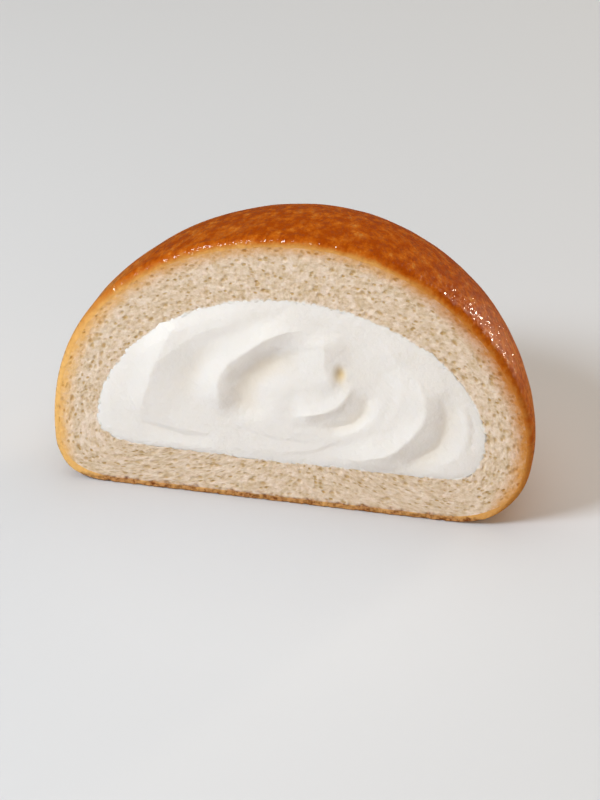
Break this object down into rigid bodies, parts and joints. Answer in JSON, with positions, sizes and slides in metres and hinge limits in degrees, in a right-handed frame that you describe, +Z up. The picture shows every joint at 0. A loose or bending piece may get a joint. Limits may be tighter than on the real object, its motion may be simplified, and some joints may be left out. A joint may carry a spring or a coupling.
{
  "type": "glazed brioche bun half with cream filling",
  "caption": "Half of a glazed brioche bun, cut from crown to base: browned glossy crust, soft open crumb and a filling of swirled whipped cream. It stands upright on its flat base.",
  "frame": {"origin": "middle of the box, on the surface that the half bun stands on", "axes": "+Z up, +X along the cut face to the right as seen from the front, +Y from the cut face into the bun"},
  "size_m": [0.111, 0.0632, 0.0685],
  "materials": {
    "baked_brioche": "baked dough: glossy egg glaze on a browned crust, dry open crumb where it is cut",
    "whipped_cream": "whipped dairy cream, smooth and softly moist"
  },
  "bodies": {
    "root": {"bread": "baked_brioche", "cream": "whipped_cream"}
  },
  "joints": []
}
